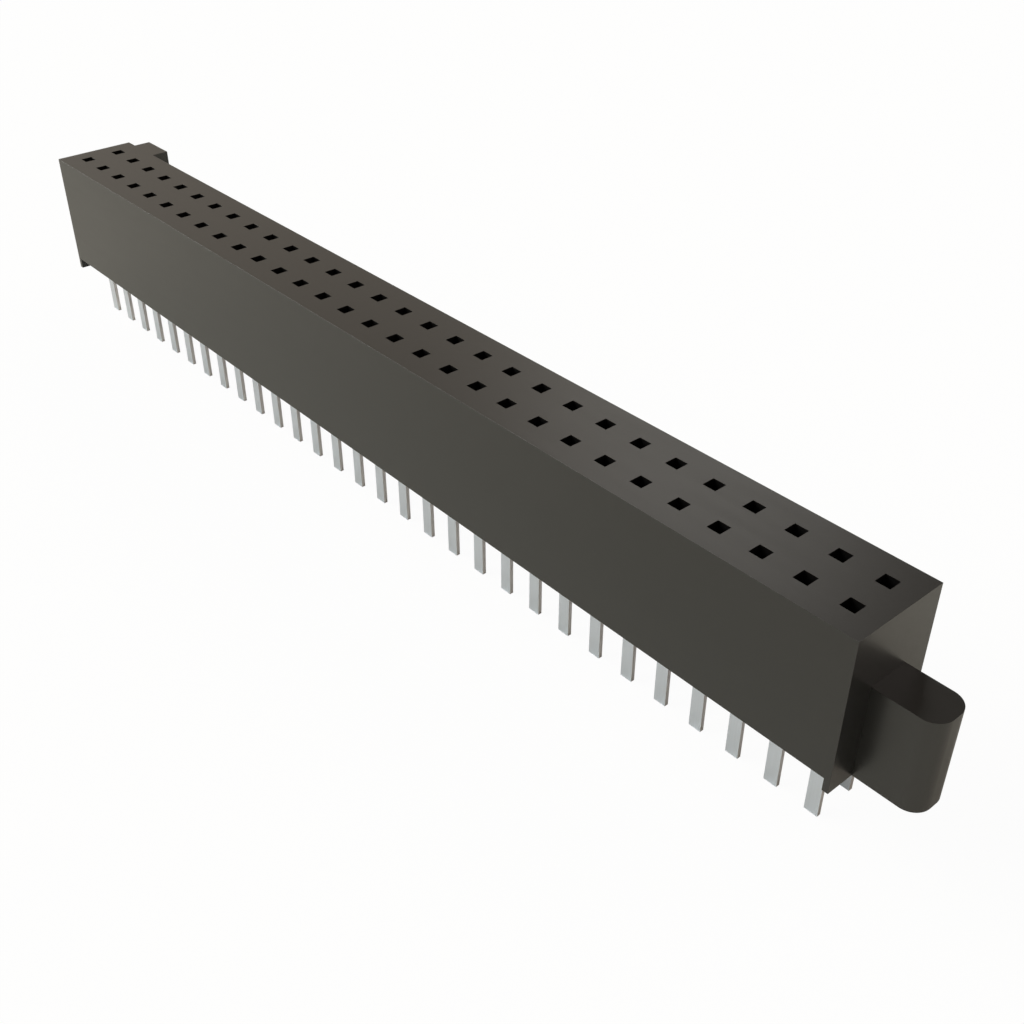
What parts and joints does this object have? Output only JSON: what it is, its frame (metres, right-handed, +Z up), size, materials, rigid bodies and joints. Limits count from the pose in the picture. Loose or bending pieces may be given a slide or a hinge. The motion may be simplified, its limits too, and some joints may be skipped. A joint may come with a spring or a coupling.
{
  "type": "pcb socket strip",
  "caption": "Slim board socket with rows of square pin openings, flat solder tails, low end feet, a round-cornered end tab and a side key block; it joins a pin header to a circuit board.",
  "frame": {"origin": "on the board's surface, at the middle of the contact grid", "axes": "+X along the rows towards the end with the tab, +Y towards the side with the key block, +Z up from the board to the face with the socket openings"},
  "size_m": [0.0402, 0.0037, 0.0065],
  "materials": {
    "housing": "as-moulded matte black heat-resistant plastic with sharp edges",
    "contact": "matte tin plate on copper-alloy strip"
  },
  "bodies": {
    "root": {"housing": "housing", "contact_pair_01": "contact", "contact_pair_02": "contact", "contact_pair_03": "contact", "contact_pair_04": "contact", "contact_pair_05": "contact", "contact_pair_06": "contact", "contact_pair_07": "contact", "contact_pair_08": "contact", "contact_pair_09": "contact", "contact_pair_10": "contact", "contact_pair_11": "contact", "contact_pair_12": "contact", "contact_pair_13": "contact", "contact_pair_14": "contact", "contact_pair_15": "contact", "contact_pair_16": "contact", "contact_pair_17": "contact", "contact_pair_18": "contact", "contact_pair_19": "contact", "contact_pair_20": "contact", "contact_pair_21": "contact", "contact_pair_22": "contact", "contact_pair_23": "contact", "contact_pair_24": "contact", "contact_pair_25": "contact", "contact_pair_26": "contact", "contact_pair_27": "contact", "contact_pair_28": "contact", "contact_pair_29": "contact", "contact_pair_30": "contact"}
  },
  "joints": []
}
